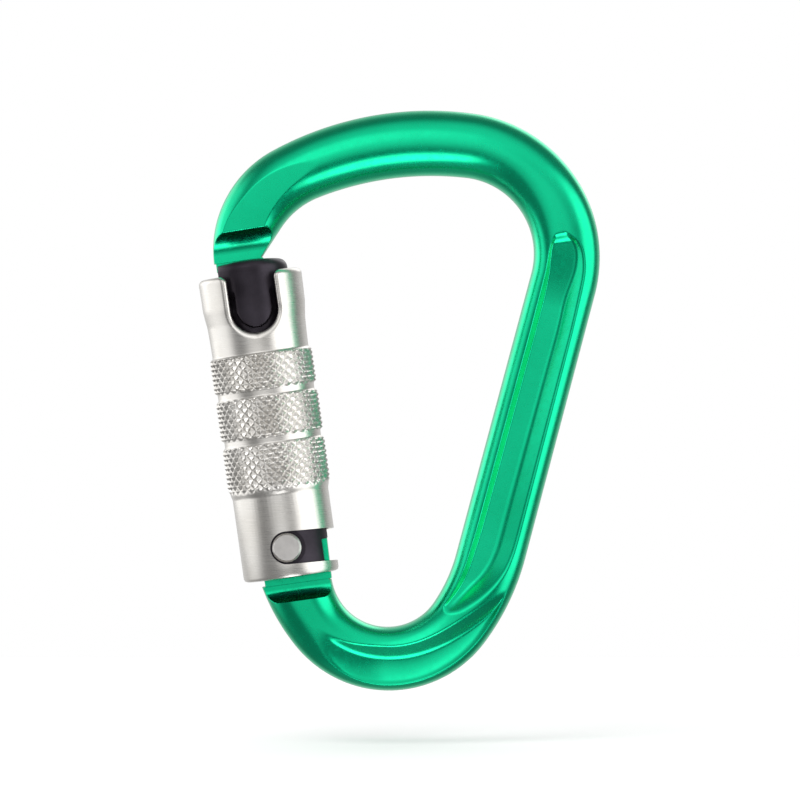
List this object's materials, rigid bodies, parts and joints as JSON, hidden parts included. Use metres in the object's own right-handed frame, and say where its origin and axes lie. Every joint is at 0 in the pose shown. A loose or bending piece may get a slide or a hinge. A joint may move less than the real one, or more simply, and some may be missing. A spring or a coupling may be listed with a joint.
{
  "type": "locking carabiner",
  "caption": "Pear-shaped forged carabiner with a swinging gate and a knurled turning lock sleeve.",
  "frame": {"origin": "inner top of the wide basket, on the bar's mid-plane, where the load hangs", "axes": "+Z from the narrow bowl to the wide basket, +X from the gate side to the spine side, +Y across the bar"},
  "size_m": [0.0762, 0.0196, 0.1102],
  "materials": {
    "green_anodised": "polished and anodised, satin gloss",
    "black_anodised": "black anodised, semi-gloss",
    "silver_anodised": "clear anodised, satin turned",
    "rivet_steel": "satin, machined face",
    "spring_steel": "drawn wire"
  },
  "bodies": {
    "frame": {"frame_body": "green_anodised"},
    "gate": {"gate": "black_anodised", "hinge_rivet": "rivet_steel", "gate_spring": "spring_steel"},
    "plunger": {"gate_plunger": "rivet_steel"},
    "spring": {"sleeve_spring": "spring_steel"},
    "sleeve": {"lock_sleeve": "silver_anodised"}
  },
  "joints": [
    {"name": "gate_swing", "type": "hinge", "parent": "frame", "child": "gate", "pos_m": [-0.0291, 0, -0.0704], "axis": [0, 1, 0], "range_deg": [0, 33], "stiffness_Nm_per_rad": 0.1, "springref_deg": -34.38},
    {"name": "plunger_slide", "type": "slide", "parent": "gate", "child": "plunger", "axis": [-0.1392, 0, 0.9903], "range_m": [0, 0.00185], "deforming": ["gate_spring"]},
    {"name": "sleeve_lift", "type": "slide", "parent": "gate", "child": "spring", "axis": [-0.1392, 0, 0.9903], "range_m": [0, 0.00075], "deforming": ["sleeve_spring"]},
    {"name": "sleeve_turn", "type": "hinge", "parent": "spring", "child": "sleeve", "pos_m": [-0.0291, 0, -0.0704], "axis": [0.1392, 0, -0.9903], "range_deg": [0, 90]}
  ],
  "couplings": [
    {"joint": "plunger_slide", "follows": "gate_swing", "m_per_rad": 0.0032},
    {"joint": "sleeve_lift", "follows": "gate_swing", "m_per_rad": 0.0013},
    {"joint": "sleeve_turn", "follows": "gate_swing", "ratio": 2.7272}
  ]
}
